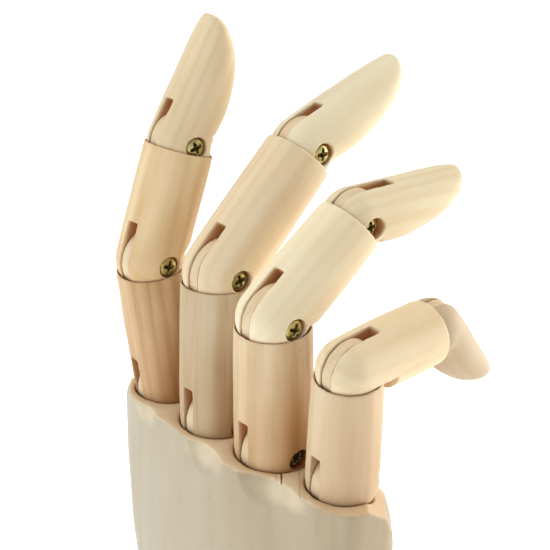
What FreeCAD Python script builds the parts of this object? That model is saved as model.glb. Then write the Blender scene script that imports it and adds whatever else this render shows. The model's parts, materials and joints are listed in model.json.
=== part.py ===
import FreeCAD, Part

import math
import os

# A right hand in turned wood, jointed for posing, on a turned stand.
# Frame: +X to the little finger, +Y out of the palm, +Z up, origin at the middle of the stand's underside.
# Each finger link has its own frame: pivot at the origin, x along the hinge, p towards the palm side,
# u along the link.

Vec = FreeCAD.Vector
Turn = FreeCAD.Rotation
Place = FreeCAD.Placement
X_AXIS = Vec(1, 0, 0)
Y_AXIS = Vec(0, 1, 0)
Z_AXIS = Vec(0, 0, 1)

# ---- driving dimensions, millimetres and degrees ----

# One row per finger. knuckle: its first pivot. splay: how the finger leans to the side. twist: how far each hinge
# is turned about the link below it. flex: how far each link is bent forward of straight up. length: pivot to
# pivot, then pivot to fingertip. ball: radius of the round end at each pivot. rim: how far each pivot stands
# above the cup it sits in. belly: how full the fingertip's palm side is. slot_side: how far each slot is off
# the middle. slot_more: extra length of each slot. sunk: depth of each screw head. screw: the side its screw
# heads are on, +1 for the little finger's side.
FINGERS = {
    "index": {
        "knuckle": (-32.8, -0.7, 186.0), "splay": -0.2, "twist": (-1.2, 0.0, -5.0), "flex": (-7.4, 19.4, 30.8),
        "length": (38.4, 31.7, 32.75), "ball": (9.5, 9.1, 8.7), "rim": (1.4, 2.3, 1.5), "belly": 0.90,
        "slot_side": (-1.2, 0.6, 0.0), "slot_more": (1.8, 0.2, 0.5), "sunk": (0.9, 0.6, 0.7), "screw": 1,
    },
    "middle": {
        "knuckle": (-10.5, -1.7, 185.2), "splay": -1.4, "twist": (-0.3, 0.0, 0.0), "flex": (2.8, 46.8, 71.0),
        "length": (40.3, 39.3, 36.1), "ball": (10.0, 9.6, 8.8), "rim": (1.3, 2.4, 2.4), "belly": 0.80,
        "slot_side": (0.0, 0.9, 0.0), "slot_more": (0.3, 0.0, 0.3), "sunk": (1.2, 1.0, 0.9), "screw": 1,
    },
    "ring": {
        "knuckle": (10.5, 0.0, 185.0), "splay": 2.9, "twist": (-0.4, 0.0, 0.0), "flex": (-3.1, 52.0, 92.2),
        "length": (36.8, 32.1, 35.2), "ball": (10.3, 9.3, 8.4), "rim": (2.0, 1.8, 1.6), "belly": 0.89,
        "slot_side": (0.0, 0.0, 0.0), "slot_more": (0.2, 0.0, 3.4), "sunk": (1.4, 0.7, 1.9), "screw": 1,
    },
    "little": {
        "knuckle": (32.2, 3.7, 183.6), "splay": 5.1, "twist": (1.9, 0.0, 0.0), "flex": (-2.4, 87.3, 141.0),
        "length": (31.4, 28.6, 27.3), "ball": (9.3, 8.1, 8.0), "rim": (2.3, 2.1, 1.9), "belly": 0.69,
        "slot_side": (-0.8, 0.0, 0.0), "slot_more": (0.2, 0.5, 0.0), "sunk": (1.0, 1.0, 1.0), "screw": -1,
    },
}
LINKS = ("proximal", "middle", "distal")
THUMB_LINKS = ("metacarpal", "proximal", "distal")
JOINTS = ("knuckle", "middle", "tip")

# The thumb is built like a finger. It stands out from the palm along thumb_up and bends towards thumb_curl.
THUMB = {
    "knuckle": (-34.0, 12.0, 106.0), "twist": (0.0, 0.0, 0.0), "flex": (0.0, 28.0, 52.0),
    "length": (35.0, 30.0, 29.0), "ball": (10.4, 9.6, 9.0), "rim": (2.0, 2.0, 1.8), "belly": 0.90,
    "slot_side": (0.0, 0.0, 0.0), "slot_more": (0.0, 0.0, 0.0), "sunk": (1.0, 0.9, 0.9), "screw": -1,
}
THUMB_UP = Vec(-0.62, 0.70, 0.35)
THUMB_CURL = Vec(0.75, 0.62, 0.20)

CUP_GAP = 0.3            # between a ball and the cup it turns in
LIP = 0.45               # wood left outside the cup at the rim
EDGE_BREAK = 0.35        # chamfer round each rim
BARREL = 0.15            # how much a link swells at mid length
TIP_FALL = 0.5           # how far a fingertip's back line falls by its end
SLOT_WIDTH = 3.6
TONGUE_LEFT = -1.45      # the tongue's two faces, from the middle of the slot
TONGUE_RIGHT = 1.70
TONGUE_UNDER = 0.45      # tongue disc radius under the ball radius
SLOT_UNDER = 0.15        # slot ceiling under the ball radius
STEM_HALF = 4.0          # half depth of the tongue's stem
STEM_DEEP = 5.0          # how far the stem is glued into the link below
CORNER_SOFT = 0.9        # size of the chamfer on the bevel's outer corner
BEVEL_RISE = 0.3         # the palm-side bevel starts this far above the 45 degree line through the pivot
SCREW_R = 1.4
SCREW_CLEAR = 0.05       # running clearance of the screw in the tongue
HEAD_R = 2.7
HEAD_TALL = 1.6
HEAD_HOLE_R = 3.0
SCREW_SHORT = 2.6        # wood left beyond the screw's tip
SCREW_POINT = 1.6
HEAD_CROWN = 0.55        # rise of the domed head above its edge
CROSS_DEEP = 1.0         # the cross recess
CROSS_ARM = 1.55
CROSS_HALF = 0.36
CROSS_TURN = 30

PALM_CENTRE = (0.4, -0.6)
PALM_SHIFT = 4.5         # the little finger's end of the palm is this far forward
LEDGE = (183.55, -0.0485, -0.00052)   # the palm's top: height at x = 0, slope, curve
# Palm sections from the wrist up: height, half width, half depth, squareness.
PALM_SECTIONS = (
    (88.0, 18.0, 15.0, 2.2),
    (99.0, 24.0, 17.0, 2.4),
    (112.0, 31.5, 17.6, 2.7),
    (128.0, 38.6, 17.0, 3.0),
    (146.0, 42.5, 15.4, 3.4),
    (166.0, 44.1, 14.2, 3.7),
    (180.0, 44.4, 13.7, 3.7),
    (195.0, 44.4, 13.5, 3.7),
)
# Hollows gouged in the back's top edge between the fingers: x, radius, depth at the top, length down the back.
GOUGES = (
    (-27.3, 9.5, 1.9, 5.6),
    (-0.8, 15.0, 1.9, 4.8),
    (25.0, 18.0, 1.9, 4.2),
)
# The palm's top corners, cut away at the little finger's palm side and at the index finger's back. Each outline
# is (reach, height), where reach is measured along CORNER_LINE.
CORNER_LINE = Vec(0.648, 0.762, 0)
LITTLE_CORNER = (
    (27.4, 183.0), (30.4, 179.5), (34.5, 175.8), (36.3, 170.5), (36.95, 163.5), (41.0, 163.5), (41.0, 183.0),
)
INDEX_CORNER = ((-32.3, 186.0), (-34.2, 181.4), (-38.0, 181.4), (-38.0, 186.0))

BEVEL_START = 9.6        # the bevel on the palm side's top edge starts this far from the middle plane
ROOF = 230.0             # above everything that is cut from the palm's top
BOSS_LONG = 19.0         # the thumb's boss
BOSS_ROOT_R = 14.5
BOSS_WALL = 1.3

WRIST = Vec(0, 0, 84.0)  # centre of the wrist ball
WRIST_R = 22.0
WRIST_RIM = 5.0          # the wrist ball's centre stands this far above the stand's rim
ROD_R = 3.0
ROD_CLEAR = 0.08
EYE_R = 6.5
EYE_ROOT = 1.5           # how far the rod runs into the eye
EYE_HALF = 2.6
EYE_SLOT = 2.9           # half width of the slot that the eye swings in
EYE_SLOT_DEEP = 14.0
EYE_SLOT_RISE = 8.0
PIN_R = 2.5
PIN_HALF = 17.0
SPRING_WIRE = 0.8
SPRING_R = 6.0
SPRING_TURNS = 6
SPRING_LOW = 25.4
SPRING_HIGH = 47.5
WELL_R = 9.0
WELL_TOP = 48.4
WASHER_R = 8.0
WASHER_THICK = 1.4
NUT_R = 5.5
NUT_TALL = 5.0
ROD_LOW = 15.0

FELT_THICK = 1.5
FELT_R = 39.5
DISC_R = 42.0
DISC_TOP = 15.0
SPIGOT_R = 15.0
SPIGOT_LOW = 7.0
DISC_CHAMFER = 1.5
DISC_EDGE = 5.0          # top of the foot's upright edge, above its underside
DISC_TOP_R = 26.5
# The forearm's side from the foot up, as (radius, height), then its rim.
FOREARM_SIDE = ((25.0, 15.0), (23.6, 24.0), (22.6, 42.0), (24.2, 60.0))
FOREARM_RIM_R = 26.4
FOREARM_ROUND = 3.0      # height of the rounding under the rim
FOREARM_LIP = 1.8
STAND_SCREWS = 3
STAND_SCREW_RING = 21.0
STAND_SCREW_R = 1.7
STAND_SCREW_LONG = 22.0
STAND_HEAD_R = 3.6
STAND_HEAD_TALL = 2.2
STAND_HEAD_SUNK = 0.6

BIG = 60.0
OUT = "parts"
pieces = {}


def keep(name, shape):
    """File one sub-part under its node name."""
    if not shape.isValid():
        raise ValueError(name + " is not a valid shape")
    pieces[name] = shape


def one_solid(shape):
    """The single solid that a boolean leaves, as a plain solid."""
    if len(shape.Solids) != 1:
        raise ValueError("expected one solid, found %d" % len(shape.Solids))
    return shape.Solids[0]


def box(low, high):
    """An upright box between two corners."""
    size = Vec(*high) - Vec(*low)
    return Part.makeBox(size.x, size.y, size.z, Vec(*low))


def ball(radius, centre=Vec(0, 0, 0)):
    return Part.makeSphere(radius, centre)


def bar(radius, start, end, axis=X_AXIS):
    """A cylinder along an axis through the origin, from start to end."""
    return Part.makeCylinder(radius, end - start, axis * start, axis)


def slab(points, low, high):
    """A prism along x: the outline's points are (p, u), and it fills x from low to high."""
    corners = [Vec(low, p, u) for p, u in points]
    face = Part.Face(Part.makePolygon(corners + corners[:1]))
    return face.extrude(Vec(high - low, 0, 0))


def link_body(length, ball_r, next_r, next_rim):
    """A turned link: a half ball below the pivot, then a slightly swelling barrel up to the next rim."""
    top = length - next_rim
    rim_r = next_r + LIP
    middle = Vec((ball_r + rim_r) / 2 + BARREL, 0, top / 2)
    low = Vec(0, 0, -ball_r)
    slant = ball_r * math.sqrt(0.5)
    side = Vec(ball_r, 0, 0)
    break_low = Vec(rim_r, 0, top - EDGE_BREAK)
    break_high = Vec(rim_r - EDGE_BREAK, 0, top)
    edges = [
        Part.Arc(low, Vec(slant, 0, -slant), side).toShape(),
        Part.Arc(side, middle, break_low).toShape(),
        Part.makeLine(break_low, break_high),
        Part.makeLine(break_high, Vec(0, 0, top)),
        Part.makeLine(Vec(0, 0, top), low),
    ]
    return Part.Face(Part.Wire(edges)).revolve(Vec(0, 0, 0), Z_AXIS, 360).Solids[0]


def section(height, half_width, back, front):
    """An oval section across a fingertip, from its back line to its palm-side line."""
    centre = Vec(0, (back + front) / 2, height)
    half_depth = (front - back) / 2
    if half_depth >= half_width:
        oval = Part.Ellipse(centre + Vec(0, half_depth, 0), centre + Vec(half_width, 0, 0), centre)
    else:
        oval = Part.Ellipse(centre + Vec(half_width, 0, 0), centre + Vec(0, half_depth, 0), centre)
    return Part.Wire([oval.toShape()])


def tip_body(length, ball_r, belly):
    """A fingertip: a half ball, then ovals whose back line runs straight to the tip."""
    # share of the length, half width, palm-side line, both as shares of the ball radius
    shape = (
        (0.00, 1.00, 1.00),
        (0.15, 1.00, 0.95),
        (0.32, 1.01, 0.97),
        (0.50, 0.97, 0.87),
        (0.68, 0.91, 0.63),
        (0.84, 0.79, 0.22),
        (0.94, 0.60, -0.18),
        (0.985, 0.40, -0.42),
        (1.00, 0.14, -0.62),
    )
    tip_back = -(ball_r - TIP_FALL)
    ovals = []
    for share, width, front in shape:
        back = -ball_r + (tip_back + ball_r) * share
        if share > 0 and front > 0:
            front *= belly
        ovals.append(section(share * length, width * ball_r, back, front * ball_r))
    upper = Part.makeLoft(ovals, True, False)
    lower = ball(ball_r).common(box((-BIG, -BIG, -BIG), (BIG, BIG, 0)))
    return one_solid(upper.fuse(lower).removeSplitter())


def palm_side_cut(kind, ball_r):
    """The wood taken off the palm side so that a link can bend, as a prism cut round the ball."""
    out = ball_r + 3
    if kind == "groove":
        deep = ball_r * 0.46
        cut = slab(((deep, 1.5), (out, 1.5 + (out - deep) * 1.8), (out, 1.5 - (out - deep) * 0.7)), -BIG, BIG)
        return cut
    if kind == "step":
        rise = ball_r + 1.2
        soft = ball_r - CORNER_SOFT
        cut = slab(((2.0, -1), (2.0, rise), (soft, rise), (out, rise + 2.2), (out, -1)), -BIG, BIG)
    else:
        soft = ball_r - CORNER_SOFT
        cut = slab(
            (
                (3.0, 3.0 + BEVEL_RISE),
                (soft, soft + BEVEL_RISE),
                (out, out + BEVEL_RISE + 3.0),
                (out, -1),
                (3.0, -1),
            ),
            -BIG, BIG,
        )
    return cut.cut(ball(ball_r))


def slot(ball_r, palm_rise, side, more):
    """The slot in a ball for the tongue: open below and behind, with a flat ceiling."""
    low = side - SLOT_WIDTH / 2
    high = side + SLOT_WIDTH / 2
    ceiling = ball_r - SLOT_UNDER
    behind = box((low, -BIG, -BIG), (high, 0, ceiling + more))
    below = box((low, -1, -BIG), (high, BIG, palm_rise))
    return behind.fuse(below).fuse(bar(ceiling, low, high))


def joint_cuts(shape, spec, number, cut_kind):
    """Cut a link's ball end: relief, tongue slot, and the screw's hole and head hole."""
    ball_r = spec["ball"][number]
    palm_rise = 3.0 if cut_kind == "groove" else 5.6
    shape = shape.cut(palm_side_cut(cut_kind, ball_r))
    shape = shape.cut(slot(ball_r, palm_rise, spec["slot_side"][number], spec["slot_more"][number]))
    seat = ball_r - spec["sunk"][number] - HEAD_TALL
    near = bar(HEAD_HOLE_R, seat, BIG, X_AXIS * spec["screw"])
    hole = bar(SCREW_R, SCREW_SHORT - ball_r, ball_r, X_AXIS * spec["screw"])
    return one_solid(shape.cut(near).cut(hole))


def stem(ball_r, side, top):
    """The tongue's stem, which is glued into the link below."""
    low = -ball_r - CUP_GAP - STEM_DEEP
    return box((side + TONGUE_LEFT, -STEM_HALF, low), (side + TONGUE_RIGHT, STEM_HALF, top))


def cup_cut(shape, place, ball_r, side):
    """Cut the cup and the tongue's mortise for a ball at a given place."""
    hollow = ball(ball_r + CUP_GAP).fuse(stem(ball_r, side, 0))
    return shape.cut(hollow.transformed(place.toMatrix()))


def tongue(ball_r, side):
    """The flat disc that the ball's cheeks straddle, with its stem."""
    disc = bar(ball_r - TONGUE_UNDER, side + TONGUE_LEFT, side + TONGUE_RIGHT)
    hole = bar(SCREW_R + SCREW_CLEAR, -BIG, BIG)
    return one_solid(disc.fuse(stem(ball_r, side, -1)).removeSplitter().cut(hole))


def screw(ball_r, sunk, side):
    """A round-head wood screw with a cross recess, along the hinge."""
    face = ball_r - sunk
    seat = face - HEAD_TALL
    end = SCREW_SHORT - ball_r
    profile = [
        Vec(end, 0, 0),
        Vec(end + SCREW_POINT, 0, SCREW_R),
        Vec(seat, 0, SCREW_R),
        Vec(seat, 0, HEAD_R),
        Vec(face - HEAD_CROWN, 0, HEAD_R),
    ]
    edges = [Part.makeLine(a, b) for a, b in zip(profile, profile[1:])]
    crown = Vec(face, 0, 0)
    shoulder = Vec(face - HEAD_CROWN * 0.25, 0, HEAD_R * 0.62)
    edges.append(Part.Arc(profile[-1], shoulder, crown).toShape())
    edges.append(Part.makeLine(crown, profile[0]))
    solid = Part.Face(Part.Wire(edges)).revolve(Vec(0, 0, 0), X_AXIS, 360).Solids[0]
    deep = face - CROSS_DEEP
    cross = box((deep, -CROSS_ARM, -CROSS_HALF), (BIG, CROSS_ARM, CROSS_HALF))
    cross = cross.fuse(box((deep, -CROSS_HALF, -CROSS_ARM), (BIG, CROSS_HALF, CROSS_ARM)))
    cross = cross.transformed(Place(Vec(0, 0, 0), Turn(X_AXIS, CROSS_TURN)).toMatrix())
    solid = one_solid(solid.cut(cross))
    if side < 0:
        solid = solid.transformed(Place(Vec(0, 0, 0), Turn(Z_AXIS, 180)).toMatrix())
    return solid


def link_places(spec, base):
    """Where each link of a finger stands at rest, and each hinge's frame before its bend."""
    pivot = Vec(*spec["knuckle"])
    turn = base
    before = 0.0
    places = []
    hinges = []
    for twist, bend, reach in zip(spec["twist"], spec["flex"], spec["length"]):
        turn = turn.multiply(Turn(Z_AXIS, twist))
        hinges.append(Place(pivot, turn))
        turn = turn.multiply(Turn(X_AXIS, before - bend))
        before = bend
        places.append(Place(pivot, turn))
        pivot = places[-1].multVec(Vec(0, 0, reach))
    return places, hinges


def build_finger(name, spec, base, links, cut_kinds):
    """Make a finger's three links, three tongues and three screws."""
    places, hinges = link_places(spec, base)
    for number, link in enumerate(links):
        place = places[number]
        hinge = hinges[number]
        ball_r = spec["ball"][number]
        side = spec["slot_side"][number]
        if number < 2:
            next_r = spec["ball"][number + 1]
            body = link_body(spec["length"][number], ball_r, next_r, spec["rim"][number + 1])
            above = place.inverse().multiply(hinges[number + 1])
            body = cup_cut(body, above, next_r, spec["slot_side"][number + 1])
        else:
            body = tip_body(spec["length"][number], ball_r, spec["belly"])
        body = joint_cuts(body, spec, number, cut_kinds[number])
        keep("%s_%s" % (name, link), body.transformed(place.toMatrix()))
        keep("%s_%s_tongue" % (name, JOINTS[number]), tongue(ball_r, side).transformed(hinge.toMatrix()))
        head = screw(ball_r, spec["sunk"][number], spec["screw"]).transformed(place.toMatrix())
        keep("%s_%s_screw" % (name, JOINTS[number]), head)
    return hinges[0]


def ledge_height(x):
    """Height of the palm's top at x."""
    return LEDGE[0] + LEDGE[1] * x + LEDGE[2] * x * x


def palm_shift(x):
    """How far the palm's middle line swings forward towards the little finger."""
    share = min(max((x - 10.0) / 18.0, 0.0), 1.0)
    return PALM_SHIFT * share * share * (3 - 2 * share)


def palm_section(height, half_width, half_depth, square):
    """A rounded oblong section of the palm."""
    shift = min(max((height - 120.0) / 50.0, 0.0), 1.0)
    points = []
    count = 48
    for step in range(count):
        angle = 2 * math.pi * (step + 0.5) / count
        cos = math.cos(angle)
        sin = math.sin(angle)
        x = PALM_CENTRE[0] + half_width * math.copysign(abs(cos) ** (2 / square), cos)
        y = PALM_CENTRE[1] + half_depth * math.copysign(abs(sin) ** (2 / square), sin)
        points.append(Vec(x, y + shift * palm_shift(x), height))
    curve = Part.BSplineCurve()
    curve.interpolate(Points=points, PeriodicFlag=True)
    return Part.Wire([curve.toShape()])


def thumb_base():
    """The turn that stands the thumb's links along thumb_up with their hinges square to its curl."""
    along = Vec(THUMB_UP).normalize()
    hinge = Vec(THUMB_CURL).cross(along).normalize()
    front = along.cross(hinge).normalize()
    matrix = FreeCAD.Matrix(
        hinge.x, front.x, along.x, 0,
        hinge.y, front.y, along.y, 0,
        hinge.z, front.z, along.z, 0,
        0, 0, 0, 1,
    )
    return Place(matrix).Rotation


def corner_cut(outline):
    """A prism square to CORNER_LINE that takes off one of the palm's top corners."""
    along = Vec(CORNER_LINE).normalize()
    across = Vec(-along.y, along.x, 0) * BIG
    points = [along * reach + Vec(0, 0, height) - across for reach, height in outline]
    return Part.Face(Part.makePolygon(points + points[:1])).extrude(across * 2)


def gouge(x, radius, depth, drop):
    """A round gouge's cut down the back's top edge."""
    top = Vec(x, PALM_CENTRE[1] - PALM_SECTIONS[-1][2] + palm_shift(x) + depth, ledge_height(x))
    down = Vec(0, -depth, -drop).normalize()
    out = Vec(0, -drop, depth).normalize()
    return Part.makeCylinder(radius, BIG, top + out * radius - down * BIG / 2, down)


def build_palm(knuckles, thumb_hinge):
    """The carved palm with the wrist ball, the finger cups and the thumb's boss."""
    block = Part.makeLoft([palm_section(*row) for row in PALM_SECTIONS], True, False)
    stations = [-BIG + BIG / 3 * number for number in range(7)]
    above = [Vec(x, 0, ledge_height(x)) for x in stations]
    crest = Part.BSplineCurve()
    crest.interpolate(above)
    ceiling = [Vec(BIG, 0, ROOF), Vec(-BIG, 0, ROOF)]
    lid = Part.Wire([
        crest.toShape(),
        Part.makeLine(above[-1], ceiling[0]),
        Part.makeLine(ceiling[0], ceiling[1]),
        Part.makeLine(ceiling[1], above[0]),
    ])
    lid = Part.Face(lid).extrude(Vec(0, BIG * 2, 0)).translated(Vec(0, -BIG, 0))
    shape = block.cut(lid)
    # the thumb's boss, a cone that grows out of the palm and ends in a rim
    thumb_r = THUMB["ball"][0]
    along = Vec(THUMB_UP).normalize()
    root = thumb_hinge.Base - along * (THUMB["rim"][0] + BOSS_LONG)
    boss = Part.makeCone(BOSS_ROOT_R, thumb_r + BOSS_WALL, BOSS_LONG, root, along)
    shape = shape.fuse(boss).fuse(ball(WRIST_R, WRIST))
    for hinge, spec in knuckles:
        shape = cup_cut(shape, hinge, spec["ball"][0], spec["slot_side"][0])
    shape = cup_cut(shape, thumb_hinge, thumb_r, THUMB["slot_side"][0])
    bevel = slab(((BEVEL_START, 0), (BIG, BEVEL_START - BIG), (BIG, BIG), (BEVEL_START, BIG)), -BIG, BIG)
    lean = Turn(Y_AXIS, math.degrees(math.atan(-LEDGE[1])))
    shape = shape.cut(bevel.transformed(Place(Vec(0, 0, LEDGE[0]), lean).toMatrix()))
    for row in GOUGES:
        shape = shape.cut(gouge(*row))
    shape = shape.cut(corner_cut(LITTLE_CORNER)).cut(corner_cut(INDEX_CORNER))
    # slot for the eye rod, open below, and the cross pin's hole
    wedge = box((-EYE_SLOT, -EYE_SLOT_DEEP, -BIG), (EYE_SLOT, EYE_SLOT_DEEP, EYE_SLOT_RISE)).translated(WRIST)
    hole = bar(PIN_R, -PIN_HALF, WRIST_R).translated(WRIST)
    return one_solid(shape.cut(wedge).cut(hole))


def build_wrist():
    """Eye rod, cross pin and plug, spring, washer and nut."""
    eye = bar(EYE_R, -EYE_HALF, EYE_HALF).translated(WRIST)
    rod = Part.makeCylinder(ROD_R, WRIST.z - EYE_R + EYE_ROOT - ROD_LOW, Vec(0, 0, ROD_LOW))
    # the rod is wider than the eye is thick, so its sides are flattened inside the ball's slot
    flat_low = WRIST.z - WRIST_R - 1
    rod = rod.cut(box((EYE_HALF, -BIG, flat_low), (BIG, BIG, BIG * 2)))
    rod = rod.cut(box((-BIG, -BIG, flat_low), (-EYE_HALF, BIG, BIG * 2)))
    eye_rod = eye.fuse(rod).cut(bar(PIN_R + SCREW_CLEAR, -BIG, BIG).translated(WRIST))
    keep("wrist_eye_rod", one_solid(eye_rod.removeSplitter()))
    keep("wrist_pin", bar(PIN_R, -PIN_HALF, PIN_HALF).translated(WRIST))
    coil = Part.makeHelix((SPRING_HIGH - SPRING_LOW) / SPRING_TURNS, SPRING_HIGH - SPRING_LOW, SPRING_R)
    wire = Part.Wire([Part.Circle(Vec(SPRING_R, 0, 0), Y_AXIS, SPRING_WIRE).toShape()])
    spring = Part.Wire(coil.Edges).makePipeShell([wire], True, True)
    spring = Part.Solid(spring) if spring.ShapeType == "Shell" else spring.Solids[0]
    keep("wrist_spring", spring.translated(Vec(0, 0, SPRING_LOW)))
    low = SPRING_LOW - SPRING_WIRE - WASHER_THICK
    bore = Part.makeCylinder(ROD_R, BIG)
    keep("wrist_washer", Part.makeCylinder(WASHER_R, WASHER_THICK, Vec(0, 0, low)).cut(bore).Solids[0])
    corners = []
    for number in range(6):
        angle = math.radians(60 * number)
        corners.append(Vec(NUT_R * math.cos(angle), NUT_R * math.sin(angle), low - NUT_TALL))
    nut = Part.Face(Part.makePolygon(corners + corners[:1])).extrude(Vec(0, 0, NUT_TALL))
    keep("wrist_nut", nut.cut(bore).Solids[0])


def turned(edges):
    """The solid that a closed profile of edges sweeps round the stand's axis."""
    return Part.Face(Part.Wire(edges)).revolve(Vec(0, 0, 0), Z_AXIS, 360).Solids[0]


def lines(points):
    """Straight edges between points given as (radius, height)."""
    places = [Vec(radius, 0, height) for radius, height in points]
    return [Part.makeLine(a, b) for a, b in zip(places, places[1:])]


def arc(points):
    """An arc through three points given as (radius, height)."""
    return Part.Arc(*[Vec(radius, 0, height) for radius, height in points]).toShape()


def build_stand():
    """The turned forearm, the foot, its screws and its felt."""
    rim = WRIST.z - WRIST_RIM
    neck = (*FOREARM_SIDE, (FOREARM_RIM_R, rim - FOREARM_ROUND))
    side = Part.BSplineCurve()
    side.interpolate([Vec(radius, 0, height) for radius, height in neck])
    lip = (FOREARM_RIM_R - FOREARM_LIP, rim)
    edges = lines(((0, SPIGOT_LOW), (SPIGOT_R, SPIGOT_LOW), (SPIGOT_R, DISC_TOP), neck[0]))
    edges.append(side.toShape())
    edges.append(arc((neck[-1], (FOREARM_RIM_R - 0.2, rim - 0.9), lip)))
    edges += lines((lip, (0, rim), (0, SPIGOT_LOW)))
    forearm = turned(edges).cut(ball(WRIST_R + CUP_GAP, WRIST))
    forearm = forearm.cut(Part.makeCylinder(ROD_R + ROD_CLEAR, BIG * 2))
    forearm = forearm.cut(Part.makeCylinder(WELL_R, WELL_TOP))
    low = FELT_THICK
    outline = ((0, low), (DISC_R - DISC_CHAMFER, low), (DISC_R, low + DISC_CHAMFER), (DISC_R, low + DISC_EDGE))
    shoulder = (DISC_R - 7.0, low + 10.0)
    top = (DISC_TOP_R, DISC_TOP)
    edges = lines(outline)
    edges.append(arc((outline[-1], (DISC_R - 2.1, low + 8.6), shoulder)))
    edges.append(arc((shoulder, (DISC_TOP_R + 3.0, low + 11.6), top)))
    edges += lines((top, (0, DISC_TOP), (0, low)))
    disc = turned(edges).cut(Part.makeCylinder(SPIGOT_R, BIG, Vec(0, 0, SPIGOT_LOW)))
    disc = disc.cut(Part.makeCylinder(WELL_R, BIG))
    screws = []
    for number in range(STAND_SCREWS):
        angle = math.radians(90 + 360 / STAND_SCREWS * number)
        sunk = low + STAND_HEAD_SUNK
        at = Vec(STAND_SCREW_RING * math.cos(angle), STAND_SCREW_RING * math.sin(angle), sunk)
        head = Part.makeCone(STAND_HEAD_R, STAND_SCREW_R, STAND_HEAD_TALL, at)
        shank = Part.makeCylinder(STAND_SCREW_R, STAND_SCREW_LONG, at)
        screws.append(one_solid(head.fuse(shank)))
        well = Part.makeCylinder(STAND_HEAD_R, STAND_HEAD_SUNK + 0.01, at - Vec(0, 0, STAND_HEAD_SUNK))
        disc = disc.cut(well).cut(screws[-1])
    keep("forearm", one_solid(forearm.cut(Part.makeCompound(screws))))
    keep("foot_disc", one_solid(disc))
    keep("foot_screws", Part.makeCompound(screws))
    keep("foot_felt", Part.makeCylinder(FELT_R, FELT_THICK))


def main():
    knuckles = []
    for name, spec in FINGERS.items():
        kinds = ("groove", "step" if name == "little" else "bevel", "bevel")
        hinge = build_finger(name, spec, Turn(Y_AXIS, spec["splay"]), LINKS, kinds)
        knuckles.append((hinge, spec))
    thumb_hinge = build_finger("thumb", THUMB, thumb_base(), THUMB_LINKS, ("bevel", "bevel", "bevel"))
    keep("palm", build_palm(knuckles, thumb_hinge))
    build_wrist()
    build_stand()
    os.makedirs(OUT, exist_ok=True)
    for name, shape in pieces.items():
        shape.exportStep(os.path.join(OUT, name + ".step"))
        print("%-26s %9.1f mm3, %d solids" % (name, shape.Volume, len(shape.Solids)))


main()
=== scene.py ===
import json
import math

import bpy
import numpy as np
from mathutils import Matrix, Vector

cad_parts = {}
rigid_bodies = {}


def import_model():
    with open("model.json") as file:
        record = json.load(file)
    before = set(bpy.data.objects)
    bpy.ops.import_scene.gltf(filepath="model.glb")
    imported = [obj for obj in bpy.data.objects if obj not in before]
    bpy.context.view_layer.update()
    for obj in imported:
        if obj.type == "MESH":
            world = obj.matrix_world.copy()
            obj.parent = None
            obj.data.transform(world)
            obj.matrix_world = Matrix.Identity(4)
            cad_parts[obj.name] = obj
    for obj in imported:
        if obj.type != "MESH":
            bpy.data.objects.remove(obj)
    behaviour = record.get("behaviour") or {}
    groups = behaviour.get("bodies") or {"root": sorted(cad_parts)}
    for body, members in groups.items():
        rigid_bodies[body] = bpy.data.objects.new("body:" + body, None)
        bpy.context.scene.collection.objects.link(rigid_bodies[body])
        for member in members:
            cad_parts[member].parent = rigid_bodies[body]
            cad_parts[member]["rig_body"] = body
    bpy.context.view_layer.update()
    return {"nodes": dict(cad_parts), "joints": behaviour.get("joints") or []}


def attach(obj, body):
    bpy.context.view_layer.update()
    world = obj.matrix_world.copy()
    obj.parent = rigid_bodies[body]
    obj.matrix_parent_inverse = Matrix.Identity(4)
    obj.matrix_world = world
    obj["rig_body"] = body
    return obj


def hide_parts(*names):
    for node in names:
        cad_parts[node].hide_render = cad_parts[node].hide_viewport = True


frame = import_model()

NODES = frame["nodes"]
JOINTS = {j["name"]: j for j in frame["joints"]}
BODY_OF = {name: obj["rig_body"] for name, obj in NODES.items()}
MM = 0.001
FINGERS = ("index", "middle", "ring", "little", "thumb")
SHORT = ("knuckle", "middle", "tip")
LINKS = ("proximal", "middle", "distal")
THUMB_LINKS = ("metacarpal", "proximal", "distal")
# How far each fingertip bends forward of the link below it, in degrees.
TIP_BEND = {"index": 11.4, "middle": 24.2, "ring": 40.2, "little": 53.7, "thumb": 24.0}
# The radius of the ball at each of a finger's three joints, in millimetres.
BALLS = {
    "index": (9.5, 9.1, 8.7), "middle": (10.0, 9.6, 8.8), "ring": (10.3, 9.3, 8.4),
    "little": (9.3, 8.1, 8.0), "thumb": (10.4, 9.6, 9.0),
}

# The camera: its angles in degrees; then, in millimetres, its place from the ring finger's knuckle, its
# sensor and its lens.
AZIMUTH = 49.64
ELEVATION = 23.4
ASIDE = 0.21
RAISED = 43.03
DISTANCE = 391.2
SENSOR = 36
LENS = 100.15

# Half the floor's width, and the height that the lights aim at, in metres.
FAR = 90
AIM_HEIGHT = 0.2
# The floor's own grey, and how strongly it glows.
FLOOR_GREY = 0.9
FLOOR_GLOW = 0.66
# How bright the room is near the horizon and overhead, and how far up the one fades into the other.
HORIZON_LIGHT = 1.0
OVERHEAD_LIGHT = 0.34
HORIZON_TOP = (0.12, 0.30)

# Voxel sizes of the remeshed wood, in millimetres.
LINK_VOXEL = 0.27
TONGUE_VOXEL = 0.25
PALM_VOXEL = 0.50
STAND_VOXEL = 0.6
# The share of the palm's faces that are kept.
PALM_KEPT = 0.55
# How much smaller a tongue is made all round, in millimetres, so that it never rubs in its slot.
TONGUE_EASE = 0.06
# How far the hand-finished surface wanders in and out, in millimetres.
LINK_WANDER = 0.16
PALM_WANDER = 0.28

# Where a link counts as slot or screw hole, in millimetres: half the slot's width, how far it runs past the
# ball, and the hole's reach from the hinge.
SLOT_HALF = 2.4
SLOT_PAST_BALL = 4.2
HOLE_R = 3.3
# The wood beyond this distance from a link's middle plane is clear of the slot.
CHEEK = 3.2

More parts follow.
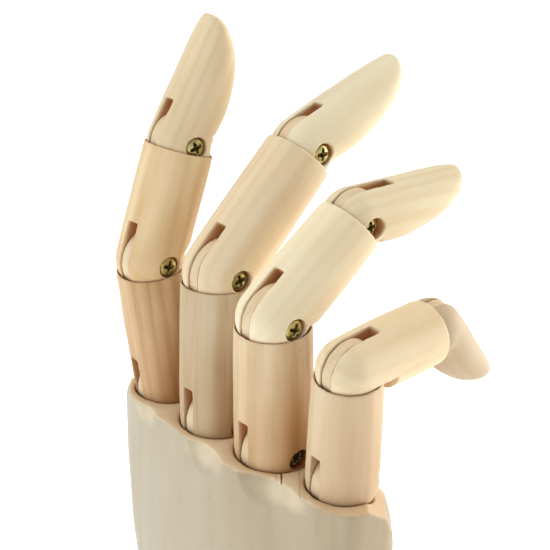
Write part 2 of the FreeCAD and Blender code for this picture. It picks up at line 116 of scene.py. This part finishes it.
# Linear colours: the painted shade in slots, screw holes and cups; the brown of painted shade and of the
# palm's browner top; the cracks; and the painted shade, cool on the thumb side, on the palm's two sides.
CAVITY_SHADE = (0.58, 0.28, 0.12, 1)
BROWN_AND_SHADE = (0.62, 0.38, 0.18, 1)
CRACK_DARK = (0.10, 0.045, 0.02, 1)
GREY_THUMB_SIDE = (0.60, 0.63, 0.69, 1)
GREY_LITTLE_SIDE = (0.55, 0.54, 0.54, 1)

# How strongly the wood's small dark pores show.
PORES = 0.35

# Thin cracks on the palm's top. Each has a place across, where it starts on its way outward, half a width,
# and bottom and top heights, in millimetres, then a strength. The two directions follow.
CRACKS = (
    (8.6, 14.0, 0.26, 176.5, 190, 1.0),
    (7.3, 14.0, 0.12, 177.5, 190, 0.5),
    (13.1, 14.0, 0.12, 178, 190, 0.55),
)
CRACK_ACROSS = (0.648, 0.762, 0)
CRACK_OUTWARD = (0.762, -0.648, 0)

# Shallow hollows along the palm's back edge, painted paler as painted light: place across, half width and
# half height, in millimetres.
HOLLOWS = ((-27.3, 4.5, 3.2), (-0.8, 7.5, 3.4), (25.0, 9.0, 3.4))

# Painted shade and warm bounce light: how brown the foot of each finger's first link is, on its palm side
# towards the little finger.
FOOT_SHADE = {"index": 1.0, "middle": 0.85, "ring": 0.85, "little": 0.35}
FOOT_SHADE_SIDE = (0.65, 0.76)

# Screws darkened all over with the recess's painted shade, and how dark: the ring finger's knuckle screw as
# painted shadow, for it sits in shade, and the middle finger's middle screw less.
DARKENED_SCREWS = {("ring", 0): 0.75, ("middle", 1): 0.40}


# ---------------------------------------------------------------- camera, floor and light

def camera():
    """A long lens close to the hand, looking down on its back from the little finger's side."""
    azimuth = math.radians(AZIMUTH)
    elevation = math.radians(ELEVATION)
    fwd = Vector((-math.sin(azimuth) * math.cos(elevation), math.cos(azimuth) * math.cos(elevation),
                  -math.sin(elevation)))
    right = Vector((math.cos(azimuth), math.sin(azimuth), 0))
    up = right.cross(fwd)
    knuckle = Vector(JOINTS["ring_knuckle_joint"]["pos_m"])
    place = knuckle + right * ASIDE * MM + up * RAISED * MM - fwd * DISTANCE * MM
    data = bpy.data.cameras.new("camera")
    data.sensor_width = SENSOR
    data.lens = LENS
    data.clip_start = 0.01
    obj = bpy.data.objects.new("camera", data)
    obj.matrix_world = Matrix((
        (right.x, up.x, -fwd.x, place.x),
        (right.y, up.y, -fwd.y, place.y),
        (right.z, up.z, -fwd.z, place.z),
        (0, 0, 0, 1),
    ))
    bpy.context.scene.collection.objects.link(obj)
    bpy.context.scene.camera = obj
    return right, fwd


def area(name, where, size, power, colour):
    """A round soft light that points at the hand."""
    data = bpy.data.lights.new(name, "AREA")
    data.shape = "DISK"
    data.size = size
    data.energy = power
    data.color = colour
    obj = bpy.data.objects.new(name, data)
    obj.location = where
    obj.rotation_euler = (Vector((0, 0, AIM_HEIGHT)) - where).to_track_quat("-Z", "Y").to_euler()
    bpy.context.scene.collection.objects.link(obj)


def room():
    """A white world, brighter near the horizon than overhead."""
    world = bpy.data.worlds.new("room")
    world.use_nodes = True
    nodes = world.node_tree.nodes
    links = world.node_tree.links
    ground = nodes["Background"]
    ground.inputs["Color"].default_value = (1, 1, 1, 1)
    parts = nodes.new("ShaderNodeSeparateXYZ")
    links.new(nodes.new("ShaderNodeTexCoord").outputs["Generated"], parts.inputs[0])
    fade = nodes.new("ShaderNodeMapRange")
    links.new(parts.outputs[2], fade.inputs["Value"])
    fade.inputs["From Min"].default_value = HORIZON_TOP[0]
    fade.inputs["From Max"].default_value = HORIZON_TOP[1]
    fade.inputs["To Min"].default_value = HORIZON_LIGHT
    fade.inputs["To Max"].default_value = OVERHEAD_LIGHT
    links.new(fade.outputs["Result"], ground.inputs["Strength"])
    bpy.context.scene.world = world


def floor():
    """A plain pale floor that glows a little, so that it stays white under the soft lights."""
    corners = [(-FAR, -FAR, 0), (FAR, -FAR, 0), (FAR, FAR, 0), (-FAR, FAR, 0)]
    mesh = bpy.data.meshes.new("floor")
    mesh.from_pydata(corners, [], [(0, 1, 2, 3)])
    obj = bpy.data.objects.new("floor", mesh)
    bpy.context.scene.collection.objects.link(obj)
    mat = bpy.data.materials.new("floor")
    mat.use_nodes = True
    shader = mat.node_tree.nodes["Principled BSDF"]
    shader.inputs["Base Color"].default_value = (FLOOR_GREY, FLOOR_GREY, FLOOR_GREY, 1)
    shader.inputs["Roughness"].default_value = 0.9
    shader.inputs["Specular IOR Level"].default_value = 0.0
    shader.inputs["Emission Color"].default_value = (1, 1, 1, 1)
    shader.inputs["Emission Strength"].default_value = FLOOR_GLOW
    mesh.materials.append(mat)


def studio(right, fwd):
    """The room, the floor and three large soft lights: above, left and right of the camera's view."""
    bpy.context.scene.view_settings.view_transform = "Standard"
    room()
    floor()
    middle = Vector((0, 0, AIM_HEIGHT))
    above = middle + Vector((0, 0, 1.0)) + fwd * 0.15
    left = middle - right * 0.85 - fwd * 0.15 + Vector((0, 0, 0.25))
    beyond = middle + right * 0.8 + fwd * 0.35 + Vector((0, 0, 0.2))
    area("top", above, 1.1, 6.0, (1, 0.99, 0.97))
    area("left", left, 0.7, 3.7, (0.74, 0.88, 1))
    area("right", beyond, 0.7, 6.3, (1, 0.96, 0.88))


# ---------------------------------------------------------------- materials

class Tree:
    """A short way to build a material's nodes."""

    def __init__(self, name):
        self.mat = bpy.data.materials.new(name)
        self.mat.use_nodes = True
        self.nodes = self.mat.node_tree.nodes
        self.links = self.mat.node_tree.links
        self.shader = self.nodes["Principled BSDF"]

    def node(self, kind, **values):
        """A new node with some of its settings."""
        made = self.nodes.new("ShaderNode" + kind)
        for key, value in values.items():
            setattr(made, key, value)
        return made

    def put(self, value, socket):
        """Link a socket to another, or set its value."""
        if isinstance(value, bpy.types.NodeSocket):
            self.links.new(value, socket)
        else:
            socket.default_value = value

    def attribute(self, name):
        return self.node("Attribute", attribute_name=name)

    def math(self, operation, a, b=0.0, clamp=False):
        made = self.node("Math", operation=operation, use_clamp=clamp)
        self.put(a, made.inputs[0])
        self.put(b, made.inputs[1])
        return made.outputs[0]

    def along(self, vector, direction):
        """How far a place is in one direction."""
        made = self.node("VectorMath", operation="DOT_PRODUCT")
        self.put(vector, made.inputs[0])
        made.inputs[1].default_value = direction
        return made.outputs["Value"]

    def part(self, vector, index):
        """One of a vector's three numbers."""
        made = self.node("SeparateXYZ")
        self.put(vector, made.inputs[0])
        return made.outputs[index]

    def stretch(self, vector, scale, turn=(0, 0, 0), shift=(0, 0, 0)):
        made = self.node("Mapping")
        self.put(vector, made.inputs["Vector"])
        made.inputs["Location"].default_value = shift
        made.inputs["Rotation"].default_value = [math.radians(a) for a in turn]
        made.inputs["Scale"].default_value = scale
        return made.outputs[0]

    def noise(self, vector, scale, detail=2.0, rough=0.5, distortion=0.0):
        made = self.node("TexNoise")
        self.put(vector, made.inputs["Vector"])
        made.inputs["Scale"].default_value = scale
        made.inputs["Detail"].default_value = detail
        made.inputs["Roughness"].default_value = rough
        made.inputs["Distortion"].default_value = distortion
        return made.outputs["Fac"]

    def ramp(self, value, low, high, start=0.0, end=1.0):
        """A smooth step from start to end while the value goes from low to high."""
        made = self.node("MapRange", interpolation_type="SMOOTHSTEP")
        self.put(value, made.inputs["Value"])
        made.inputs["From Min"].default_value = low
        made.inputs["From Max"].default_value = high
        made.inputs["To Min"].default_value = start
        made.inputs["To Max"].default_value = end
        return made.outputs["Result"]

    def mix(self, share, a, b, kind="MIX"):
        made = self.node("Mix", data_type="RGBA", blend_type=kind)
        self.put(share, made.inputs[0])
        self.put(a, made.inputs[6])
        self.put(b, made.inputs[7])
        return made.outputs[2]

    def bump(self, height, distance, strength=1.0):
        made = self.node("Bump")
        self.put(height, made.inputs["Height"])
        made.inputs["Distance"].default_value = distance
        made.inputs["Strength"].default_value = strength
        self.links.new(made.outputs[0], self.shader.inputs["Normal"])


def crack_lines(t, grain, colour):
    """Thin drying cracks on the palm's top, beside the ring finger."""
    for across, outward, width, low, high, strength in CRACKS:
        wander = t.math("MULTIPLY", t.math("SUBTRACT", t.noise(grain, 0.9, 1.0), 0.5), 0.5)
        off = t.math("SUBTRACT", t.along(grain, CRACK_ACROSS), across)
        line = t.ramp(t.math("ABSOLUTE", t.math("ADD", off, wander)), width * 0.5, width, 1, 0)
        height = t.part(grain, 2)
        tall = t.math("MULTIPLY", t.ramp(height, low, low + 1), t.ramp(height, high - 0.6, high, 1, 0))
        tall = t.math("MULTIPLY", tall, t.ramp(t.along(grain, CRACK_OUTWARD), outward - 1, outward))
        level = t.math("MULTIPLY", t.attribute("level").outputs["Fac"], strength)
        share = t.math("MULTIPLY", t.math("MULTIPLY", line, tall), level)
        colour = t.mix(share, colour, CRACK_DARK)
    return colour


def growth_rings(t, grain, tilt, shift, gap):
    """Bands round a pith that lies off to one side of the piece."""
    wave = t.node("TexWave", wave_type="RINGS", rings_direction="Z", wave_profile="SIN")
    t.put(t.stretch(grain, (1, 1, 0.10), (*tilt, 0), (*shift, 0)), wave.inputs["Vector"])
    wave.inputs["Scale"].default_value = 0.314 / gap
    wave.inputs["Distortion"].default_value = 1.6
    wave.inputs["Detail"].default_value = 2.0
    wave.inputs["Detail Scale"].default_value = 0.6
    return t.ramp(wave.outputs["Fac"], 0.25, 1.0)


def wood(name, pale, tan, rings, streaks, patches, tilt=(4, 3), shift=(20, 4), gap=3.0, palm=False):
    """Pale sanded wood. The grain attribute holds millimetres across and along the piece."""
    t = Tree(name)
    grain = t.attribute("grain").outputs["Vector"]
    ring = growth_rings(t, grain, tilt, shift, gap)
    fine = t.noise(t.stretch(grain, (1.1, 1.1, 0.05)), 1.0, 3.0, 0.6)
    coarse = t.noise(t.stretch(grain, (0.26, 0.26, 0.016)), 1.0, 2.0, 0.5, 0.4)
    patch = t.noise(t.stretch(grain, (0.085, 0.085, 0.03)), 1.0, 2.0, 0.5)
    tone = t.math("MULTIPLY", ring, rings)
    layers = (
        (t.ramp(fine, 0.30, 0.75), streaks * 0.5),
        (t.ramp(coarse, 0.33, 0.7), streaks),
        (t.ramp(patch, 0.38, 0.66), patches),
    )
    for layer, amount in layers:
        tone = t.math("ADD", tone, t.math("MULTIPLY", layer, amount))
    tone = t.math("MULTIPLY", tone, 0.5, clamp=True)
    colour = t.mix(tone, (*pale, 1), (*tan, 1))
    pore = t.noise(t.stretch(grain, (3.2, 3.2, 0.22), shift=(7, 3, 1)), 1.0, 2.0, 0.6)
    fleck = t.math("MULTIPLY", t.ramp(pore, 0.66, 0.76), PORES)
    colour = t.mix(fleck, colour, (tan[0] * 0.55, tan[1] * 0.42, tan[2] * 0.3, 1))
    # Painted shade: slots, screw holes and cups darkened to orange-brown.
    colour = t.mix(t.attribute("inside").outputs["Fac"], colour, CAVITY_SHADE)
    if palm:
        colour = crack_lines(t, grain, colour)
        # Painted shade: every face but the palm's top made darker and greyer, bluer on the thumb side.
        grey = t.mix(t.ramp(t.part(grain, 0), -40, 40), GREY_THUMB_SIDE, GREY_LITTLE_SIDE)
        colour = t.mix(t.attribute("side_shade").outputs["Fac"], colour, grey, "MULTIPLY")
    # Brown multiplied in: painted shade on the first links' feet and round the palm's cups, and a browner
    # palm top.
    colour = t.mix(t.attribute("browning_and_shade").outputs["Fac"], colour, BROWN_AND_SHADE, "MULTIPLY")
    t.put(colour, t.shader.inputs["Base Color"])
    t.put(t.ramp(fine, 0.2, 0.8, 0.50, 0.66), t.shader.inputs["Roughness"])
    t.shader.inputs["Specular IOR Level"].default_value = 0.32
    grooves = t.math("ADD", t.math("MULTIPLY", fine, 0.6), t.math("MULTIPLY", pore, -0.5))
    t.bump(grooves, 0.00006, 0.55)
    return t.mat


def metal(name, colour, rough, spots, deep, recess_shade=None):
    """Metal with a slightly uneven, lightly tarnished face, and painted shade in any recess."""
    t = Tree(name)
    here = t.node("TexCoord").outputs["Object"]
    cloud = t.noise(here, spots, 4.0, 0.65)
    shade = t.mix(t.ramp(cloud, 0.40, 0.68), (*colour, 1), (*deep, 1))
    # Painted shade: the recess darkened to near black.
    if recess_shade:
        shade = t.mix(t.attribute("recess").outputs["Fac"], shade, (*recess_shade, 1))
    t.put(shade, t.shader.inputs["Base Color"])
    t.shader.inputs["Metallic"].default_value = 1.0
    t.put(t.ramp(cloud, 0.3, 0.7, rough, rough + 0.14), t.shader.inputs["Roughness"])
    t.bump(cloud, 0.00003, 0.4)
    return t.mat


def felt_material():
    """Dark green felt."""
    t = Tree("felt")
    here = t.node("TexCoord").outputs["Object"]
    fuzz = t.noise(here, 2600, 5.0, 0.7)
    t.put(t.mix(fuzz, (0.012, 0.05, 0.03, 1), (0.03, 0.10, 0.06, 1)), t.shader.inputs["Base Color"])
    t.shader.inputs["Roughness"].default_value = 0.95
    t.shader.inputs["Sheen Weight"].default_value = 0.5
    t.bump(fuzz, 0.0004, 0.8)
    return t.mat


# ---------------------------------------------------------------- meshes

def smoothstep(low, high, value):
    """0 below low, 1 above high, and smooth between."""
    share = np.clip((value - low) / (high - low), 0, 1)
    return share * share * (3 - 2 * share)


def points_of(mesh):
    """A mesh's points, in metres."""
    co = np.empty(len(mesh.vertices) * 3, np.float32)
    mesh.vertices.foreach_get("co", co)
    return co.reshape(-1, 3).astype(float)


def normals_of(mesh):
    normal = np.empty(len(mesh.vertices) * 3, np.float32)
    mesh.vertex_normals.foreach_get("vector", normal)
    return normal.reshape(-1, 3)


def remeshed(node, voxel, smooth, kept=1.0):
    """A new mesh from a CAD node's shape, with even faces and softened edges."""
    obj = bpy.data.objects.new("vis_" + node, NODES[node].data.copy())
    bpy.context.scene.collection.objects.link(obj)
    step = obj.modifiers.new("voxels", "REMESH")
    step.mode = "VOXEL"
    step.voxel_size = voxel * MM
    step.use_smooth_shade = True
    soft = obj.modifiers.new("soft", "SMOOTH")
    soft.factor = 0.5
    soft.iterations = smooth
    if kept < 1:
        fewer = obj.modifiers.new("fewer", "DECIMATE")
        fewer.ratio = kept
    graph = bpy.context.evaluated_depsgraph_get()
    mesh = bpy.data.meshes.new_from_object(obj.evaluated_get(graph))
    obj.modifiers.clear()
    obj.data = mesh
    mesh.materials.clear()
    mesh.name = obj.name
    mesh.shade_smooth()
    return obj


def uneven(local, seed, size):
    """A gentle hand-finished unevenness, in millimetres, from a few long waves."""
    rng = np.random.default_rng(seed)
    waves = 7
    total = np.zeros(len(local))
    for _ in range(waves):
        direction = rng.normal(size=3)
        direction /= np.linalg.norm(direction)
        total += np.sin(local @ direction * rng.uniform(0.18, 0.5) + rng.uniform(0, 6.28))
    return total / waves * size


def set_values(mesh, name, values, kind="FLOAT"):
    """Store a value at each of a mesh's points, for its material."""
    made = mesh.attributes.new(name, kind, "POINT")
    key = "vector" if kind == "FLOAT_VECTOR" else "value"
    made.data.foreach_set(key, np.ascontiguousarray(values, np.float32).ravel())


def push(mesh, amount):
    """Move the mesh's points along their normals by so many millimetres."""
    co = points_of(mesh)
    co += normals_of(mesh) * (amount * MM)[:, None]
    mesh.vertices.foreach_set("co", co.astype(np.float32).ravel())
    mesh.update()


def finish_piece(obj, node, material):
    """Give a piece its material, and let it stand for its CAD node."""
    obj.data.materials.append(material)
    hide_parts(node)
    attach(obj, BODY_OF[node])


def joint(finger, number):
    return JOINTS["%s_%s_joint" % (finger, SHORT[number])]


def pivot_of(finger, number=0):
    return np.array(joint(finger, number)["pos_m"])


def link_frame(finger, number):
    """Pivot and axes of a link at rest: x along the hinge, p to the palm side, u along the link."""
    spots = [Vector(joint(finger, k)["pos_m"]) for k in range(3)]
    axis = Vector(joint(finger, number)["axis"]).normalized()
    hinge = axis if finger == "thumb" else -axis
    if number < 2:
        along = (spots[number + 1] - spots[number]).normalized()
    else:
        below = (spots[2] - spots[1]).normalized()
        below = (below - hinge * below.dot(hinge)).normalized()
        along = Matrix.Rotation(math.radians(-TIP_BEND[finger]), 3, hinge) @ below
    palmward = along.cross(hinge).normalized()
    return np.array(spots[number]), np.array((hinge, palmward, along))


def in_link(co, origin, axes):
    """Places in a link's own frame, in millimetres."""
    return (co - origin) @ axes.T / MM


def link_inside(local, radius):
    """How surely each point is in the slot or the screw hole, from 0 to 1, by its depth under the skin; these
    places get painted shade.
    """
    x, p, u = local.T
    bands, sectors, lowest, band_height = 50, 24, -12, 1.5
    across = np.hypot(x, p)
    reach = np.where(u > 0, across, np.sqrt(across ** 2 + u ** 2))
    rows = np.clip(((u - lowest) / band_height).astype(int), 0, bands - 1)
    turns = ((np.arctan2(p, x) + math.pi) / (2 * math.pi) * sectors).astype(int) % sectors
    skin = np.zeros((bands, sectors))
    np.maximum.at(skin, (rows, turns), reach)
    skin = np.maximum(skin, np.maximum(np.roll(skin, 1, 1), np.roll(skin, -1, 1)))
    depth = skin[rows, turns] - reach
    slot = (np.abs(x) < SLOT_HALF) & (u < radius + SLOT_PAST_BALL)
    hole = np.hypot(p, u) < HOLE_R
    return smoothstep(0.5, 1.3, depth) * (slot | hole)


# Pale and tan wood colours for each link, and how strongly its grain shows.
LOOKS = {
    "index": (
        dict(pale=(0.70, 0.50, 0.29), tan=(0.46, 0.26, 0.105), rings=0.5, streaks=0.65, patches=0.6),
        dict(pale=(0.77, 0.58, 0.34), tan=(0.59, 0.375, 0.165), rings=0.5, streaks=0.5, patches=0.8),
        dict(pale=(0.73, 0.585, 0.37), tan=(0.60, 0.43, 0.235), rings=0.4, streaks=0.3, patches=0.6),
    ),
    "middle": (
        dict(pale=(0.66, 0.55, 0.38), tan=(0.45, 0.31, 0.155), rings=0.5, streaks=0.55, patches=0.6),
        dict(pale=(0.80, 0.665, 0.455), tan=(0.68, 0.48, 0.265), rings=0.4, streaks=0.3, patches=0.7),
        dict(pale=(0.80, 0.695, 0.49), tan=(0.74, 0.60, 0.37), rings=0.5, streaks=0.25, patches=0.4),
    ),
    "ring": (
        dict(pale=(0.75, 0.60, 0.39), tan=(0.56, 0.37, 0.175), rings=0.6, streaks=0.55, patches=0.6),
        dict(pale=(0.84, 0.72, 0.50), tan=(0.77, 0.59, 0.35), rings=0.4, streaks=0.25, patches=0.6),
        dict(pale=(0.76, 0.65, 0.44), tan=(0.68, 0.51, 0.285), rings=0.6, streaks=0.3, patches=0.5),
    ),
    "little": (
        dict(pale=(0.70, 0.55, 0.36), tan=(0.58, 0.405, 0.22), rings=0.4, streaks=0.45, patches=0.5),
        dict(pale=(0.80, 0.655, 0.43), tan=(0.69, 0.50, 0.27), rings=0.4, streaks=0.3, patches=0.7),
        # The little finger's tip is made darker than the other tips as painted shade.
        dict(pale=(0.56, 0.44, 0.295), tan=(0.49, 0.36, 0.22), rings=0.5, streaks=0.3, patches=0.5),
    ),
    "thumb": (
        dict(pale=(0.78, 0.64, 0.43), tan=(0.63, 0.45, 0.245), rings=0.5, streaks=0.45, patches=0.6),
        dict(pale=(0.79, 0.66, 0.45), tan=(0.68, 0.49, 0.27), rings=0.4, streaks=0.35, patches=0.6),
        dict(pale=(0.80, 0.68, 0.47), tan=(0.70, 0.54, 0.31), rings=0.5, streaks=0.3, patches=0.5),
    ),
}


def first_link_shade(finger, local, radius):
    """How much painted shade and warm bounce light brown a finger's first link: most at its foot, on the side
    towards the little finger and the palm.
    """
    side = (local[:, 0] * FOOT_SHADE_SIDE[0] + local[:, 1] * FOOT_SHADE_SIDE[1]) / radius
    low = 1 - smoothstep(radius * 0.6, radius * 3.2, local[:, 2])
    return FOOT_SHADE[finger] * (0.18 + 0.82 * low) * (0.40 + 0.60 * smoothstep(-0.7, 0.8, side))


def build_link(finger, number):
    """One wooden link of a finger or the thumb."""
    links = THUMB_LINKS if finger == "thumb" else LINKS
    node = "%s_%s" % (finger, links[number])
    obj = remeshed(node, LINK_VOXEL, 3)
    origin, axes = link_frame(finger, number)
    local = in_link(points_of(obj.data), origin, axes)
    radius = BALLS[finger][number]
    seed = FINGERS.index(finger) * 3 + number + 11
    inside = link_inside(local, radius)
    # The cup round the next link's ball gets painted shade too.
    if number < 2:
        ahead = in_link(pivot_of(finger, number + 1), origin, axes)
        gap = np.linalg.norm(local - ahead, axis=1) - BALLS[finger][number + 1]
        inside = np.maximum(inside, 1 - smoothstep(0.36, 0.50, gap))
    cheeks = np.abs(local[:, 0]) > CHEEK
    push(obj.data, uneven(local, seed, LINK_WANDER) * (1 - inside) * cheeks)
    rng = np.random.default_rng(seed + 100)
    set_values(obj.data, "grain", local + rng.uniform(-90, 90, 3), "FLOAT_VECTOR")
    set_values(obj.data, "inside", inside)
    # Painted shade and warm bounce light on the first link's foot.
    if number == 0 and finger in FOOT_SHADE:
        set_values(obj.data, "browning_and_shade", first_link_shade(finger, local, radius))
    angle = rng.uniform(0, 2 * math.pi)
    look = LOOKS[finger][number]
    material = wood(node + "_wood", tilt=rng.uniform(-6, 6, 2), gap=rng.uniform(2.4, 3.8),
                    shift=(14 * math.cos(angle), 14 * math.sin(angle)), **look)
    finish_piece(obj, node, material)


def build_tongue(finger, number):
    """The flat tongue that fills a joint's slot."""
    node = "%s_%s_tongue" % (finger, SHORT[number])
    obj = remeshed(node, TONGUE_VOXEL, 2)
    origin, axes = link_frame(finger, number)
    local = in_link(points_of(obj.data), origin, axes)
    push(obj.data, np.full(len(local), -TONGUE_EASE))
    set_values(obj.data, "grain", local + FINGERS.index(finger) * 31 + number * 17, "FLOAT_VECTOR")
    finish_piece(obj, node, TONGUE_WOOD)


def screw_head(radius):
    """A domed head with a cross recess: points, faces, the rim, and how deep in the recess each point is."""
    around, rows = 120, 34
    angle = np.arange(around) / around * 2 * math.pi
    points = [(0, 0)]
    for row in range(1, rows + 1):
        reach = radius * row / rows
        points += [(reach * math.cos(a), reach * math.sin(a)) for a in angle]
    flat = np.array(points)
    reach = np.hypot(flat[:, 0], flat[:, 1]) / radius
    height = -0.62 * reach ** 2.6 - 0.25 * smoothstep(0.86, 1.0, reach)
    cut = np.zeros(len(flat))
    arm_half, arm_reach, centre_r, centre_deep = 0.50, 1.72, 0.95, 1.1
    for out, off in (np.abs(flat.T), np.abs(flat.T[::-1])):
        arm = smoothstep(-0.06, 0.10, arm_half - 0.06 * out - off) * smoothstep(-0.05, 0.22, arm_reach - out)
        cut = np.maximum(cut, arm * (1.30 - 0.42 * out))
    middle = smoothstep(0, 0.5, centre_r - np.hypot(flat[:, 0], flat[:, 1]))
    cut = np.maximum(cut, middle * centre_deep)
    height -= cut
    recess = np.clip(cut / centre_deep, 0, 1)
    faces = [(0, 1 + k, 1 + (k + 1) % around) for k in range(around)]
    for row in range(rows - 1):
        a = 1 + row * around
        b = a + around
        faces += [(a + k, b + k, b + (k + 1) % around, a + (k + 1) % around) for k in range(around)]
    last = 1 + (rows - 1) * around
    return np.column_stack((flat, height)), faces, list(range(last, last + around)), recess


def build_screw(finger, number):
    """A brass wood screw along the hinge: head, shank with rings for a thread, and point."""
    node = "%s_%s_screw" % (finger, SHORT[number])
    shank_r, root_r, head_tall, turns, tip = 1.4, 1.12, 1.6, 13, 1.6
    origin, axes = link_frame(finger, number)
    local = in_link(points_of(NODES[node].data), origin, axes)
    # The head is on the side where the wide points are.
    wide = np.hypot(local[:, 1], local[:, 2]) > 2.0
    side = 1 if local[wide, 0].mean() > 0 else -1
    face = (local[:, 0] * side).max()
    point = (local[:, 0] * side).min()
    head_r = np.hypot(local[:, 1], local[:, 2]).max()
    top, faces, before, recess = screw_head(head_r)
    turn = np.random.default_rng(FINGERS.index(finger) * 7 + number).uniform(0, math.pi)
    c, s = math.cos(turn), math.sin(turn)
    flat = np.column_stack((top[:, 0] * c - top[:, 1] * s, top[:, 0] * s + top[:, 1] * c))
    points = np.column_stack((top[:, 2] + face, flat)).tolist()
    around = len(before)
    under = face - head_tall
    profile = [(under + 0.05, head_r), (under, head_r - 0.1), (under, shank_r)]
    for k in range(1, 2 * turns + 1):
        along = under - (under - point - tip) * k / (2 * turns)
        profile.append((along, shank_r if k % 2 else root_r))
    profile += [(point + 0.2, 0.25), (point, 0.03)]
    for along, reach in profile:
        start = len(points)
        for k in range(around):
            a = 2 * math.pi * k / around + turn
            points.append((along, reach * math.cos(a), reach * math.sin(a)))
        for k in range(around):
            after = (k + 1) % around
            faces.append((before[k], start + k, start + after, before[after]))
        before = list(range(start, start + around))
    points = np.array(points)
    points[:, 0] *= side
    world = points * MM @ axes + origin
    if side < 0:
        faces = [f[::-1] for f in faces]
    mesh = bpy.data.meshes.new("vis_" + node)
    mesh.from_pydata(world.tolist(), [], faces)
    mesh.update()
    mesh.shade_smooth()
    recess = np.concatenate((recess, np.zeros(len(points) - len(recess))))
    # Painted shade in the cross recess; the listed screws are darkened all over.
    set_values(mesh, "recess", np.maximum(recess, DARKENED_SCREWS.get((finger, number), 0)))
    obj = bpy.data.objects.new("vis_" + node, mesh)
    bpy.context.scene.collection.objects.link(obj)
    finish_piece(obj, node, BRASS)


def palm_inside(co):
    """How surely each of the palm's points is in one of its cups, from 0 to 1; the cups get painted shade."""
    found = np.zeros(len(co))
    for finger in FINGERS:
        gap = np.linalg.norm(co - pivot_of(finger), axis=1) / MM - BALLS[finger][0]
        found = np.maximum(found, 1 - smoothstep(0.40, 0.62, gap))
    return found


def socket_shade(co):
    """1 at the rims of the four fingers' cups, fading away from them; painted shade browns the palm's top
    there.
    """
    found = np.zeros(len(co))
    for finger in FINGERS[:4]:
        aside = (co - pivot_of(finger))[:, :2]
        gap = np.hypot(aside[:, 0], aside[:, 1]) / MM - BALLS[finger][0]
        found = np.maximum(found, 1 - smoothstep(0.4, 3.6, gap))
    return found


def in_hollows(local, normal):
    """1 in the middle of each hollow along the back edge, which is painted paler as painted light, fading out
    round it.
    """
    found = np.zeros(len(local))
    for x, wide, tall in HOLLOWS:
        near = (np.abs(local[:, 0] - x) < 1.5) & (normal[:, 1] < -0.4)
        edge = np.percentile(local[near, 2], 98) - 1.2
        off = np.hypot((local[:, 0] - x) / wide, (local[:, 2] - edge) / tall)
        off += 0.10 * np.sin(local[:, 0] * 0.8 + x)
        found = np.maximum(found, (1 - smoothstep(0.35, 1.25, off)) * smoothstep(0.2, -0.3, normal[:, 1]))
    return found


def build_palm():
    """The carved palm: painted shade greys its sides and browns its top near the cups; with cracks, and
    hollows painted paler.
    """
    obj = remeshed("palm", PALM_VOXEL, 3, PALM_KEPT)
    co = points_of(obj.data)
    inside = palm_inside(co)
    local = co / MM
    push(obj.data, uneven(local, 5, PALM_WANDER) * (1 - inside))
    normal = normals_of(obj.data)
    top = smoothstep(0.35, 0.80, normal[:, 2])
    # Painted light: the hollows are kept paler than the shaded sides and the browned top.
    hollow_light = in_hollows(local, normal)
    # Painted shade browns the top round the cups; the top is also browner at the little finger's end.
    brown = np.maximum(socket_shade(co), smoothstep(34, 38, local[:, 0]))
    set_values(obj.data, "grain", local, "FLOAT_VECTOR")
    set_values(obj.data, "inside", inside)
    # Painted shade on all faces but the top, halved in the hollows.
    set_values(obj.data, "side_shade", (1 - top) * (1 - 0.5 * hollow_light))
    set_values(obj.data, "level", top)
    # The top is browned a little everywhere, and more by the painted shade near the cups, but not in the
    # hollows.
    set_values(obj.data, "browning_and_shade", top * (0.07 + 0.36 * brown) * (1 - hollow_light))
    material = wood("palm_wood", (0.83, 0.68, 0.46), (0.70, 0.52, 0.30), rings=0.2, streaks=0.15, patches=0.5,
                    tilt=(1.5, 1), shift=(6, 46), gap=4.2, palm=True)
    finish_piece(obj, "palm", material)


def build_stand():
    """The turned forearm, with upright grain, and the foot disc, with its grain lying flat."""
    for node, shift, order in (("forearm", 15, [0, 1, 2]), ("foot_disc", 70, [2, 1, 0])):
        obj = remeshed(node, STAND_VOXEL, 3)
        local = points_of(obj.data) / MM
        set_values(obj.data, "grain", local[:, order] + (shift, 5, 9), "FLOAT_VECTOR")
        material = wood(node + "_wood", (0.53, 0.435, 0.30), (0.44, 0.335, 0.205), rings=0.3, streaks=0.28,
                        patches=0.5, tilt=(1, 2), shift=(12, 30), gap=4.0)
        finish_piece(obj, node, material)


def dress(name, material):
    """Give a CAD node that stays as it is its material."""
    NODES[name].data.materials.clear()
    NODES[name].data.materials.append(material)


# ---------------------------------------------------------------- making

camera_axes = camera()
studio(*camera_axes)
# The brass's cross recess gets painted shade.
BRASS = metal("brass", (0.55, 0.49, 0.20), 0.24, 420, (0.34, 0.29, 0.11), recess_shade=(0.05, 0.032, 0.012))
STEEL = metal("steel", (0.55, 0.56, 0.57), 0.26, 500, (0.40, 0.41, 0.42))
TONGUE_WOOD = wood("tongue_wood", (0.72, 0.56, 0.36), (0.58, 0.40, 0.21), rings=0.3, streaks=0.4, patches=0.3)
for finger in FINGERS:
    for number in range(3):
        build_link(finger, number)
        build_tongue(finger, number)
        build_screw(finger, number)
build_palm()
build_stand()
for name in ("wrist_eye_rod", "wrist_pin", "wrist_spring", "wrist_washer", "wrist_nut", "foot_screws"):
    dress(name, STEEL)
dress("foot_felt", felt_material())
